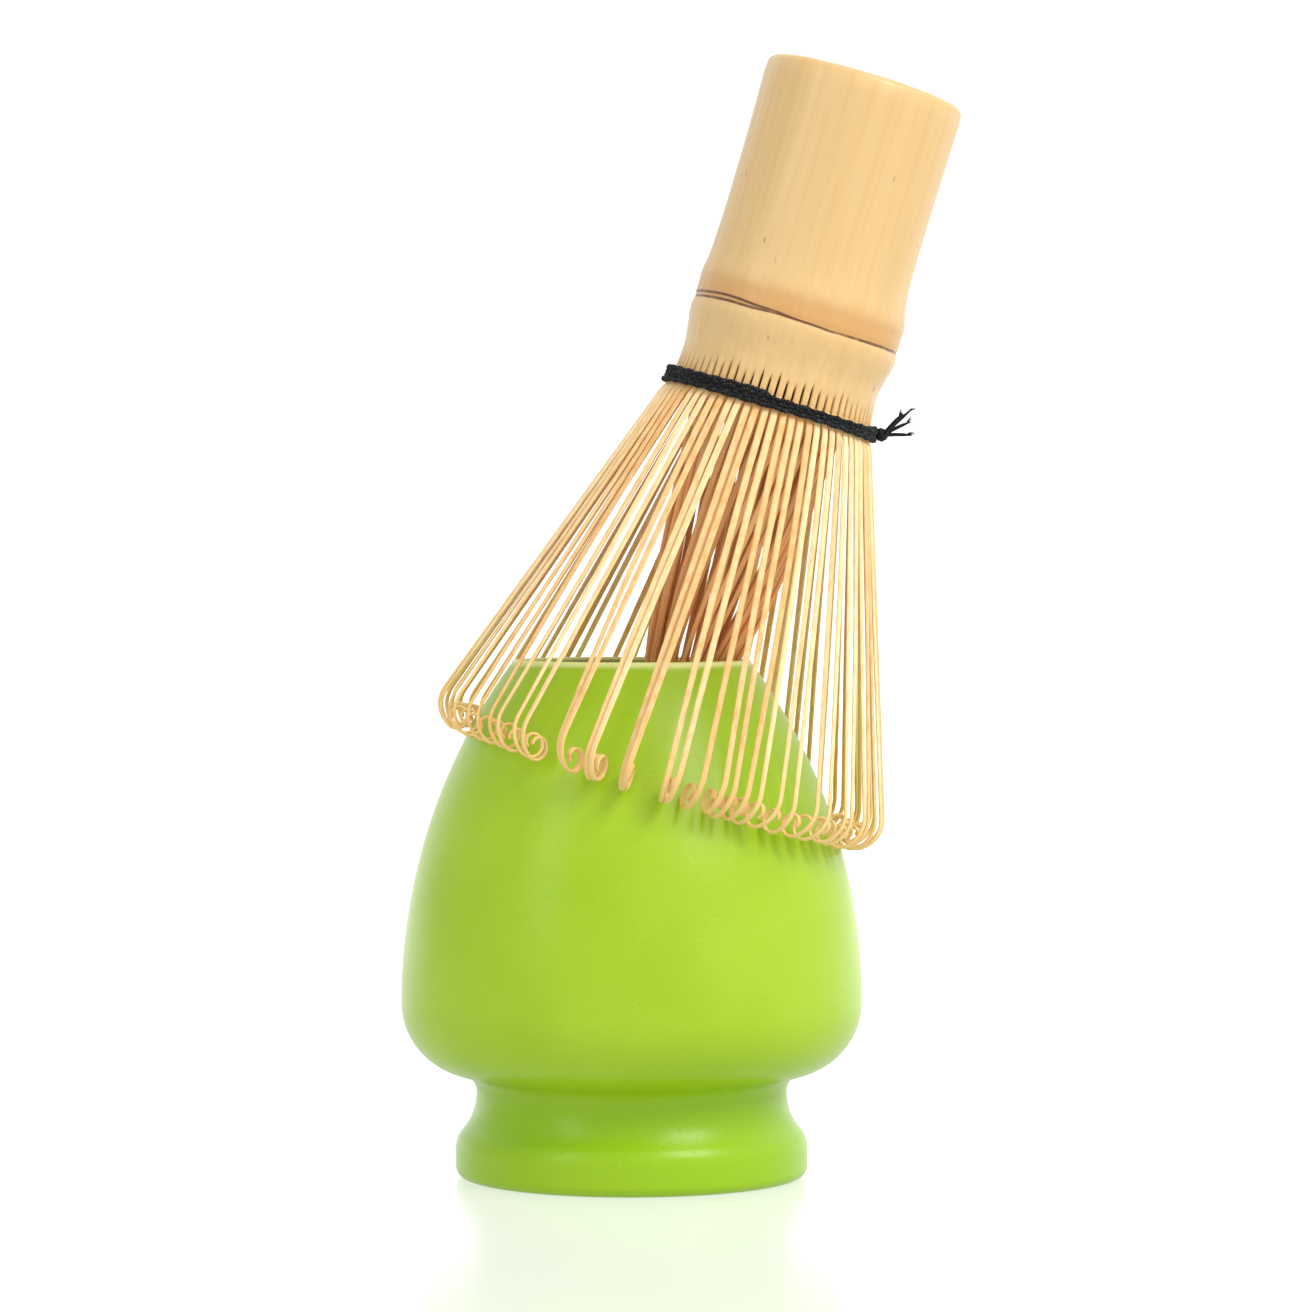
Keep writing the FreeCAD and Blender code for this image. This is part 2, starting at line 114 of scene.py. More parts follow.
@dataclass
class Workpiece:
    """A mesh on the bench, in millimetres, shaped with the modelling tools.

    Attributes:
        obj: The Blender object that is being shaped.
    """

    obj: bpy.types.Object

    @classmethod
    def primitive(cls, name: str, tool: Callable, **settings: object) -> "Workpiece":
        """Adds a primitive, with nothing else selected.

        Args:
            name: Name for the piece.
            tool: Tool that adds it.
            **settings: Its settings.

        Returns:
            The piece, in object mode.
        """
        bpy.ops.object.select_all(action="DESELECT")
        tool(**settings)
        piece = cls(bpy.context.active_object)
        piece.obj.name = name
        return piece

    @classmethod
    def strip(
        cls, name: str, width: float, length: float, top: float, out: float = 0.0
    ) -> "Workpiece":
        """A flat upright strip that faces along x, as wide in y as asked.

        Args:
            name: Name for the piece.
            width: Size across.
            length: Size downwards.
            top: Height of the upper edge.
            out: Its place along x.

        Returns:
            The strip, in edit mode, with its lower edge selected.
        """
        upright = (0, math.pi / 2, 0)
        piece = cls.primitive(name, bpy.ops.mesh.primitive_plane_add, size=1, rotation=upright)
        bpy.ops.object.transform_apply(location=False, rotation=True, scale=False)
        piece.edit()
        bpy.ops.transform.resize(value=(1, width, length), center_override=(0, 0, 0))
        middle = top - length / 2
        bpy.ops.transform.translate(value=(out, 0, middle))
        piece.pick(lambda vertex: vertex.co.z < middle)
        return piece

    @classmethod
    def lathed(cls, name: str, profile: Sequence[Point], columns: int) -> "Workpiece":
        """Turns a profile of (radius, height) points round the z axis.

        Args:
            name: Name for the piece.
            profile: Points of the half section, in order.
            columns: Steps round the axis.

        Returns:
            The turned piece, in object mode.
        """
        piece = cls.primitive(name, bpy.ops.mesh.primitive_plane_add, size=1)
        piece.edit()
        bpy.ops.mesh.merge(type="CENTER")
        bpy.ops.mesh.select_all(action="SELECT")
        bpy.ops.transform.translate(value=(profile[0][0], 0, profile[0][1]))
        for (r0, z0), (r1, z1) in zip(profile, profile[1:]):
            bpy.ops.mesh.extrude_vertices_move(
                TRANSFORM_OT_translate={"value": (r1 - r0, 0, z1 - z0)}
            )
        bpy.ops.mesh.select_all(action="SELECT")
        bpy.ops.mesh.spin(
            steps=columns, angle=2 * math.pi, center=(0, 0, 0), axis=(0, 0, 1)
        )
        bpy.ops.mesh.select_all(action="SELECT")
        bpy.ops.mesh.remove_doubles(threshold=1e-4)
        piece.face_outwards()
        return piece

    def edit(self) -> None:
        """Goes to edit mode on this piece, with all of it selected."""
        bpy.context.view_layer.objects.active = self.obj
        self.obj.select_set(True)
        bpy.ops.object.mode_set(mode="EDIT")
        bpy.ops.mesh.select_all(action="SELECT")

    def rest(self) -> None:
        """Goes back to object mode."""
        bpy.ops.object.mode_set(mode="OBJECT")

    def face_outwards(self) -> None:
        """Turns every face outwards and goes back to object mode."""
        bpy.ops.mesh.select_all(action="SELECT")
        bpy.ops.mesh.normals_make_consistent(inside=False)
        self.rest()

    def pull(self, way: Sequence[float]) -> None:
        """Pulls what is selected out into new faces."""
        bpy.ops.mesh.extrude_region_move(TRANSFORM_OT_translate={"value": way})

    def pick(self, wanted: Callable[[bmesh.types.BMVert], bool]) -> None:
        """Selects vertices in edit mode, with the edges and faces between them.

        Args:
            wanted: Says whether a vertex is picked.
        """
        grid = bmesh.from_edit_mesh(self.obj.data)
        for part in (*grid.faces, *grid.edges, *grid.verts):
            part.select = False
        for vertex in grid.verts:
            vertex.select = wanted(vertex)
        grid.select_flush(True)
        bmesh.update_edit_mesh(self.obj.data)

    def pick_last(self, count: int) -> None:
        """Selects the vertices that the last tool added.

        Args:
            count: How many of them.
        """
        grid = bmesh.from_edit_mesh(self.obj.data)
        grid.verts.index_update()
        first = len(grid.verts) - count
        self.pick(lambda vertex: vertex.index >= first)

    def thicken(self, thickness: float, edge: float) -> None:
        """Gives a strip its thickness, behind its faces, and eases its edges.

        Args:
            thickness: Its thickness.
            edge: Width of the eased edges.
        """
        for kind, settings in (
            ("SOLIDIFY", {"thickness": thickness, "offset": -1}),
            ("BEVEL", {"width": edge, "segments": 1, "limit_method": "ANGLE"}),
        ):
            modifier = self.obj.modifiers.new(kind.title(), kind)
            for key, value in settings.items():
                setattr(modifier, key, value)
            bpy.ops.object.modifier_apply(modifier=modifier.name)
        self.edit()
        self.face_outwards()

    def points(self) -> np.ndarray:
        """Reads the vertices.

        Returns:
            One row of x, y and z for each vertex.
        """
        flat = np.empty(len(self.obj.data.vertices) * 3)
        self.obj.data.vertices.foreach_get("co", flat)
        return flat.reshape(-1, 3)

    def mould(self, rows: np.ndarray) -> None:
        """Moves each vertex to its row of x, y and z."""
        self.obj.data.vertices.foreach_set("co", rows.ravel())
        self.obj.data.update()

    def mark(self, name: str, values: np.ndarray) -> None:
        """Stores one number on each vertex, for the materials to read.

        Args:
            name: Name of the attribute.
            values: One number for each vertex.
        """
        layer = self.obj.data.attributes.get(name)
        if layer is None:
            layer = self.obj.data.attributes.new(name, "FLOAT", "POINT")
        layer.data.foreach_set("value", values.astype(np.float32))

    def copied(self, name: str) -> "Workpiece":
        """Makes a copy with a mesh of its own.

        Args:
            name: Name for the copy.

        Returns:
            The copy.
        """
        twin = self.obj.copy()
        twin.data = self.obj.data.copy()
        twin.name = name
        bpy.context.collection.objects.link(twin)
        return Workpiece(twin)

    def discard(self) -> None:
        """Removes the piece from the bench."""
        bpy.data.objects.remove(self.obj)


def joined(pieces: Sequence[Workpiece], name: str) -> Workpiece:
    """Joins pieces into one.

    Args:
        pieces: Pieces to join.
        name: Name for the whole.

    Returns:
        The joined piece.
    """
    bpy.ops.object.select_all(action="DESELECT")
    for piece in pieces:
        piece.obj.select_set(True)
    bpy.context.view_layer.objects.active = pieces[0].obj
    if len(pieces) > 1:
        bpy.ops.object.join()
    pieces[0].obj.name = name
    return pieces[0]


@dataclass(frozen=True)
class WhiskFrame:
    """Where the leaning whisk stands in the row frame.

    Attributes:
        band: Centre of the binding thread, in metres.
        along: Direction to the handle's end.
        across: Direction to the low side.
    """

    band: Vector
    along: Vector
    across: Vector

    @classmethod
    def from_joints(cls, joints: Sequence[dict]) -> "WhiskFrame":
        """Reads the frame from the part's joints.

        Args:
            joints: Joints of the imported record.

        Returns:
            The frame.
        """
        hinges = [Vector(j["pos_m"]) for j in joints if j["name"].startswith("tine_splay")]
        band = sum(hinges, Vector()) / len(hinges)
        lift = next(Vector(j["axis"]) for j in joints if j["name"] == "whisk_lift")
        return cls(band, lift.normalized(), (hinges[0] - band).normalized())

    @property
    def lean(self) -> float:
        """Lean towards +X in radians."""
        return math.atan2(self.along.x, self.along.z)

    def to_row(self) -> Matrix:
        """Matrix from the whisk's millimetres to the row frame's metres."""
        columns = Matrix((self.across, self.along.cross(self.across), self.along)).transposed()
        return Matrix.Translation(self.band) @ columns.to_4x4() @ Matrix.Scale(MM, 4)


WHISK = WhiskFrame.from_joints(frame["joints"])


def finish_piece(
    piece: Workpiece, slot: Slot, replaced: Sequence[str],
    materials: Sequence[bpy.types.Material], sharp: float = 40, body: str = "whisk",
    to_row: Matrix = WHISK.to_row(),
) -> None:
    """Sets a finished piece into the row frame and gives it its place in the assembly.

    Args:
        piece: The shaped piece.
        slot: Material slot of the record; not used.
        replaced: CAD nodes it stands for.
        materials: Its materials, in slot order.
        sharp: Angle in degrees above which an edge stays crisp.
        body: CAD body it rides on.
        to_row: Matrix from the bench to the row frame.
    """
    obj = piece.obj
    obj.data.transform(to_row)
    obj.data.update()
    obj.data.materials.clear()
    for material in materials:
        obj.data.materials.append(material)
    bpy.ops.object.select_all(action="DESELECT")
    obj.select_set(True)
    bpy.context.view_layer.objects.active = obj
    bpy.ops.object.shade_smooth_by_angle(angle=math.radians(sharp))
    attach(obj, body)
    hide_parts(*replaced)
    log.info("%s: %d faces on %s", obj.name, len(obj.data.polygons), body)


# ---- material helpers

def colour(code: str) -> tuple[float, float, float, float]:
    """Turns an sRGB hex code into linear light.

    Args:
        code: Six hex digits.

    Returns:
        Linear red, green, blue and alpha.
    """
    parts = [int(code[start:start + 2], 16) / 255 for start in (0, 2, 4)]
    linear = [p / 12.92 if p <= 0.04045 else ((p + 0.055) / 1.055) ** 2.4 for p in parts]
    return (linear[0], linear[1], linear[2], 1.0)


def add_node(
    tree: bpy.types.NodeTree, kind: str, inputs: dict | None = None, **settings: object
) -> bpy.types.Node:
    """Adds a node with its settings, values and links.

    Args:
        tree: Node tree to add to.
        kind: Node type without its "ShaderNode" prefix.
        inputs: Value or socket for each input, by name or index.
        **settings: Node properties.

    Returns:
        The node.
    """
    node = tree.nodes.new(f"ShaderNode{kind}")
    for key, value in settings.items():
        setattr(node, key, value)
    for key, value in (inputs or {}).items():
        if isinstance(value, bpy.types.NodeSocket):
            tree.links.new(value, node.inputs[key])
        else:
            node.inputs[key].default_value = value
    return node


Socket = bpy.types.NodeSocket


@dataclass
class Recipe:
    """A material under construction.

    Attributes:
        name: Name of the material.
    """

    name: str

    def __post_init__(self) -> None:
        self.material = bpy.data.materials.new(self.name)
        self.material.use_nodes = True
        self.tree = self.material.node_tree
        self.tree.nodes.clear()
        self.place = add_node(self.tree, "TexCoord").outputs["Object"]

    def whisk_place(self) -> Socket:
        """Coordinates of the upright whisk, in metres from its binding thread."""
        return add_node(
            self.tree, "Mapping",
            {"Vector": self.place, "Location": WHISK.band, "Rotation": (0, WHISK.lean, 0)},
            vector_type="TEXTURE",
        ).outputs[0]

    def stretched(self, place: Socket, scale: Sequence[float]) -> Socket:
        """Coordinates scaled unevenly, for a grain."""
        return add_node(
            self.tree, "Mapping", {"Vector": place, "Scale": tuple(scale)}
        ).outputs[0]

    def height(self, place: Socket) -> Socket:
        """The z coordinate."""
        return add_node(self.tree, "SeparateXYZ", {"Vector": place}).outputs["Z"]

    def noise(self, place: Socket, scale: float, detail: float = 2, rough: float = 0.5) -> Socket:
        """Cloudy noise between 0 and 1."""
        return add_node(
            self.tree, "TexNoise",
            {"Vector": place, "Scale": scale, "Detail": detail, "Roughness": rough},
        ).outputs[0]

    def read(self, name: str) -> Socket:
        """A number stored on the mesh."""
        return add_node(self.tree, "Attribute", attribute_name=name).outputs["Fac"]

    def sum(self, kind: str, first: Socket | float, second: Socket | float) -> Socket:
        """Arithmetic on two values."""
        return add_node(self.tree, "Math", {0: first, 1: second}, operation=kind).outputs[0]

    def ramp(
        self, value: Socket, low: float, high: float, start: float = 0, end: float = 1
    ) -> Socket:
        """Soft step of a value from start to end between low and high."""
        return add_node(
            self.tree, "MapRange",
            {"Value": value, "From Min": low, "From Max": high, "To Min": start, "To Max": end},
            interpolation_type="SMOOTHSTEP",
        ).outputs[0]

    def mix(self, share: Socket | float, first: Socket | str, second: Socket | str) -> Socket:
        """Blends two colours.

        Args:
            share: Share of the second colour.
            first: Colour, or the hex code of a plain one.
            second: The other colour.

        Returns:
            The blend.
        """
        first, second = (colour(c) if isinstance(c, str) else c for c in (first, second))
        node = add_node(self.tree, "Mix", {0: share, 6: first, 7: second}, data_type="RGBA")
        return node.outputs[2]

    def bump(self, height: Socket, distance: float, strength: float = 1.0) -> Socket:
        """Surface relief from a height."""
        return add_node(
            self.tree, "Bump", {"Height": height, "Distance": distance, "Strength": strength}
        ).outputs[0]

    def surface(self, **inputs: object) -> bpy.types.Material:
        """Closes the recipe with one principled surface.

        Args:
            **inputs: Its inputs, with underscores for spaces.

        Returns:
            The material.
        """
        named = {key.replace("_", " "): value for key, value in inputs.items()}
        shader = add_node(self.tree, "BsdfPrincipled", named)
        add_node(self.tree, "OutputMaterial", {"Surface": shader.outputs[0]})
        return self.material


# ---- finishes

@dataclass(frozen=True)
class Glaze:
    """Lime-green glaze fired on slip-cast stoneware: glassy, thin and pale on the sharp lip,
    and pooled deeper in the hollow of the waist and on the foot.
    """

    body: str = "A2C626"
    thin: str = "DCE596"
    pooled: str = "8EBC06"
    relief: float = 0.00003

    def make(self) -> bpy.types.Material:
        """Builds the material.

        Returns:
            The material.
        """
        recipe = Recipe("lime glaze, fired on stoneware")
        height = recipe.height(recipe.place)
        cloud = recipe.noise(recipe.place, 45, 3)
        base = recipe.mix(recipe.ramp(cloud, 0.3, 0.75), self.body, "97BE16")
        base = recipe.mix(recipe.ramp(height, 0.022, 0.010, 0, 0.75), base, self.pooled)
        lip = recipe.sum("ADD", height, recipe.sum("MULTIPLY", cloud, 0.0006))
        base = recipe.mix(recipe.ramp(lip, 0.0742, 0.0750), base, self.thin)
        orange_peel = recipe.noise(recipe.place, 260, 2)
        pinholes = recipe.ramp(recipe.noise(recipe.place, 1400, 1), 0.66, 0.75)
        relief = recipe.sum("SUBTRACT", orange_peel, pinholes)
        return recipe.surface(
            Base_Color=base, Roughness=0.3, Normal=recipe.bump(relief, self.relief),
            Specular_IOR_Level=0.28, Coat_Weight=0.12, Coat_Roughness=0.28,
        )


@dataclass(frozen=True)
class CulmSkin:
    """Culm of dried bamboo with its skin left on: satin, finely streaked along the fibres,
    stained orange round the node, with the brown scar of the fallen sheath.
    """

    pale: str = "DDBA80"
    streak: str = "CFA25E"
    node: str = "CB8C40"
    scar: str = "6B3F1B"

    def make(self) -> bpy.types.Material:
        """Builds the material.

        Returns:
            The material.
        """
        recipe = Recipe("bamboo culm, dried with its skin on")
        place = recipe.whisk_place()
        height = recipe.height(place)
        fibres = recipe.noise(recipe.stretched(place, (1, 1, 0.03)), 900, 3, 0.6)
        broad = recipe.noise(recipe.stretched(place, (1, 1, 0.08)), 160, 2)
        streaks = recipe.sum(
            "ADD", recipe.ramp(fibres, 0.35, 0.75, 0, 0.3), recipe.ramp(broad, 0.4, 0.8, 0, 0.3)
        )
        base = recipe.mix(streaks, self.pale, self.streak)
        wander = recipe.sum("MULTIPLY", recipe.noise(place, 90, 3), 0.0009)
        level = recipe.sum("SUBTRACT", recipe.sum("ADD", height, wander), 0.00045)
        above = recipe.ramp(level, 0.0180, 0.0132, 0, 0.6)
        below = recipe.ramp(level, 0.0120, 0.0124)
        base = recipe.mix(recipe.sum("MULTIPLY", above, below), base, self.node)
        # on the left the scar is double: its second edge parts from the first
        aside = add_node(recipe.tree, "SeparateXYZ", {"Vector": place}).outputs["X"]
        parted = recipe.sum("ADD", 0.0122, recipe.ramp(aside, 0.001, -0.011, 0, 0.0007))
        lines = [recipe.sum("ABSOLUTE", recipe.sum("SUBTRACT", level, at), 0)
                 for at in (0.0122, parted)]
        line = recipe.ramp(recipe.sum("MINIMUM", *lines), 0.00026, 0.00010)
        patchy = recipe.ramp(recipe.noise(place, 420, 2), 0.3, 0.5, 0.6, 1)
        base = recipe.mix(recipe.sum("MULTIPLY", line, patchy), base, self.scar)
        specks = recipe.noise(recipe.stretched(place, (1, 1, 0.4)), 700, 1)
        base = recipe.mix(recipe.ramp(specks, 0.74, 0.8, 0, 0.6), base, "9A6A34")
        depth = recipe.ramp(height, 0.004, 0.0012, 0, 0.35)
        base = recipe.mix(depth, base, "E7B565")
        # painted shade: the slits between the tines' roots are darkened to near-black brown,
        # standing in for the shade in the narrow gaps
        base = recipe.mix(recipe.ramp(recipe.read("slit"), 0.22, 0.6), base, "2C180A")
        relief = recipe.sum("SUBTRACT", fibres, recipe.sum("MULTIPLY", line, 2))
        return recipe.surface(
            Base_Color=base, Roughness=recipe.ramp(broad, 0.3, 0.7, 0.36, 0.5),
            Normal=recipe.bump(relief, 0.00003), Coat_Weight=0.28, Coat_Roughness=0.26,
        )


@dataclass(frozen=True)
class TineFace:
    """One face of the shaved outer tines: long straight fibres, cream where it was shaved
    and deeper orange where it was split, browner where steam bent the tip.

    Attributes:
        face: Which face it covers.
    """

    face: Face

    def make(self) -> bpy.types.Material:
        """Builds the material.

        Returns:
            The material.
        """
        shaved = self.face is Face.SHAVED
        pale, deep, tip = (
            ("FBE0AA", "E5AE66", "EBC478") if shaved else ("CE7F34", "A05718", "C88C40")
        )
        recipe = Recipe(f"bamboo tine, {self.face.name.lower()}")
        along, tint = recipe.read("along"), recipe.read("tint")
        grain = recipe.noise(recipe.stretched(recipe.whisk_place(), (1, 1, 0.05)), 1500, 3, 0.6)
        share = recipe.sum("ADD", recipe.ramp(grain, 0.35, 0.8, 0, 0.6), tint)
        base = recipe.mix(share, pale, deep)
        base = recipe.mix(recipe.ramp(along, 0.86, 1.05, 0, 0.7), base, tip)
        base = recipe.mix(recipe.ramp(along, 0.05, 0.0, 0, 0.5), base, "E8B860")
        return recipe.surface(
            Base_Color=base, Roughness=0.42, Normal=recipe.bump(grain, 0.00004),
            Subsurface_Weight=0.08, Subsurface_Radius=(0.0012, 0.0007, 0.0003),
        )


@dataclass(frozen=True)
class InnerTine:
    """Inner bamboo, split and shaved thin: dull red-brown, with painted shade that makes it
    darker towards the tips, where the bundle hangs down into the holder's mouth.
    """

    top: str = "FFD094"
    # painted shade: the darker colour the strips take on towards their tips
    low: str = "F6B06A"

    def make(self) -> bpy.types.Material:
        """Builds the material.

        Returns:
            The material.
        """
        recipe = Recipe("inner bamboo, split and shaved")
        along, tint = recipe.read("along"), recipe.read("tint")
        grain = recipe.noise(recipe.stretched(recipe.whisk_place(), (1, 1, 0.05)), 1300, 3, 0.6)
        # painted shade: the strips turn from the top colour to the darker low colour lower down,
        # deeper in the holder's mouth
        base = recipe.mix(recipe.ramp(along, 0.05, 0.8), self.top, self.low)
        base = recipe.mix(recipe.ramp(grain, 0.4, 0.8, 0, 0.5), base, "FFC47A")
        base = recipe.mix(tint, base, "A85E26")
        return recipe.surface(
            Base_Color=base, Roughness=0.55, Normal=recipe.bump(grain, 0.00005)
        )


@dataclass(frozen=True)
class CottonThread:
    """Black cotton, two plies twisted: matt, with a bluish sheen of loose fibres."""

    dark: str = "08090A"
    sheen: str = "4C545E"

    def make(self) -> bpy.types.Material:
        """Builds the material.

        Returns:
            The material.
        """
        recipe = Recipe("cotton thread, dyed black and twisted")
        fuzz = recipe.noise(recipe.place, 2600, 2, 0.7)
        # painted sheen: bluish-grey flecks of light on loose fibres mixed into the black base
        # colour
        base = recipe.mix(recipe.ramp(fuzz, 0.52, 0.78), self.dark, self.sheen)
        return recipe.surface(
            Base_Color=base, Roughness=0.75, Normal=recipe.bump(fuzz, 0.00012),
            Sheen_Weight=0.08, Sheen_Roughness=0.4, Specular_IOR_Level=0.3,
        )


@dataclass(frozen=True)
class SweepBoard:
    """White laminate sweep with a weak gloss, lit from behind, more so towards the back."""

    glow: float = 0.56
    far_glow: float = 0.9

    def make(self) -> bpy.types.Material:
        """Builds the material.

        Returns:
            The material.
        """
        recipe = Recipe("white laminate sweep")
        where = add_node(recipe.tree, "SeparateXYZ", {"Vector": recipe.place})
        glow = recipe.ramp(where.outputs["Y"], 0.1, 0.9, self.glow, self.far_glow)
        return recipe.surface(
            Base_Color=colour("8E908C"), Roughness=0.2,
            Emission_Color=colour("FFFFFF"), Emission_Strength=glow,
        )


# ---- holder

@dataclass(frozen=True)
class Holder:
    """Slip-cast whisk holder: open mouth, domed body, hollow waist and ring foot.

    Sizes are in millimetres; the height comes from the CAD body's box.
    """

    rim: float = 17.4
    lip: float = 1.0
    belly: float = 33.4
    belly_height: float = 25.4
    under: float = 10.6
    waist: float = 22.5
    waist_height: float = 12.4
    foot: float = 25.5
    foot_height: float = 4.2
    flare: float = 4.0
    foot_edge: float = 1.6
    ring_width: float = 4.5
    recess: float = 1.5
    floor: float = 3.5
    corner: float = 2.5
    wall: float = 3.2
    columns: int = 208

    def profile(self, height: float) -> list[Point]:
        """Half section from the middle of the inside floor, over the lip, to the foot.

        Args:
            height: Height of the lip.

        Returns:
            Points of radius and height.
        """
        lip_z = height - self.lip / 2
        outer_centre, outer = self.upright_arc(self.rim, lip_z, self.belly)
        mouth = self.rim - self.lip
        inner_centre, inner = self.upright_arc(mouth, lip_z, self.belly - self.wall)
        outer_angle = math.degrees(math.atan2(lip_z - self.belly_height, self.rim - outer_centre))
        inner_angle = math.degrees(math.atan2(lip_z - self.belly_height, mouth - inner_centre))
        under_x = self.belly - self.under
        reach, drop = under_x - self.waist, self.belly_height - self.waist_height
        hollow = (drop**2 + reach**2 - self.under**2) / (2 * (self.under + reach))
        join = math.degrees(math.atan2(-drop, self.waist + hollow - under_x))
        hollow_centre = (self.waist + hollow, self.waist_height)
        fall, step = self.waist_height - self.foot_height, self.foot - self.waist
        scoop = (fall**2 + step**2 - 2 * self.flare * step) / (2 * step)
        meet = math.degrees(math.atan2(fall, self.waist + scoop - self.foot + self.flare))
        floor_z, inner_waist = self.recess + self.floor, self.waist - self.wall
        corner_centre = (inner_waist - self.corner, floor_z + self.corner)
        under_centre = (under_x, self.belly_height)
        lip_centre = (self.rim - self.lip / 2, lip_z)
        foot_centre = (self.foot - self.foot_edge, self.foot_edge)
        points = [(0.0, floor_z), (corner_centre[0], floor_z)]
        for centre, radius, start, end, steps in (
            (corner_centre, self.corner, -90, 0, 5),
            (hollow_centre, hollow + self.wall, 180, 180, 1),
            (hollow_centre, hollow + self.wall, 180, 180 + join, 6),
            (under_centre, self.under - self.wall, join, 0, 8),
            ((inner_centre, self.belly_height), inner, 0, inner_angle, 24),
            (lip_centre, self.lip / 2, 180, 0, 10),
            ((outer_centre, self.belly_height), outer, outer_angle, 0, 40),
            (under_centre, self.under, 0, join, 18),
            (hollow_centre, hollow, 180 + join, 180, 10),
            ((self.waist + scoop, self.waist_height), scoop, 180, 180 + meet, 10),
            ((self.foot - self.flare, self.foot_height), self.flare, meet, 0, 10),
            (foot_centre, self.foot_edge, 0, 0, 1),
            (foot_centre, self.foot_edge, 0, -90, 8),
        ):
            points += arc_points(centre, radius, start, end, steps)
        ring = self.foot - self.foot_edge - self.ring_width
        points += [(ring, 0.0), (ring - 0.4, self.recess), (0.0, self.recess)]
        return points

    def upright_arc(self, radius: float, height: float, belly: float) -> tuple[float, float]:
        """Arc that leaves the belly upright and passes a point higher up.

        Args:
            radius: Radius of the point.
            height: Height of the point.
            belly: Radius at the belly.

        Returns:
            Radius of the arc's centre from the axis, and the arc's own radius.
        """
        run, rise = belly - radius, height - self.belly_height
        bend = (run**2 + rise**2) / (2 * run)
        return belly - bend, bend

    def build(self, glaze: bpy.types.Material) -> None:
        """Turns the holder and dresses it.

        Args:
            glaze: Its material.
        """
        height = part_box("holder_body")[1].z / MM
        piece = Workpiece.lathed("cast_holder", self.profile(height), self.columns)
        rows = piece.points()
        # hand-finished lip and body: never quite round
        turns = np.arctan2(rows[:, 1], rows[:, 0])
        waver = 1 + 0.0015 * np.sin(2 * turns + 0.6) + 0.0008 * np.sin(3 * turns + 2)
        rows[:, :2] *= waver[:, None]
        piece.mould(rows)
        finish_piece(
            piece, Slot.GLAZE, ["holder_body"], [glaze], 50, "holder", Matrix.Scale(MM, 4)
        )


# ---- handle

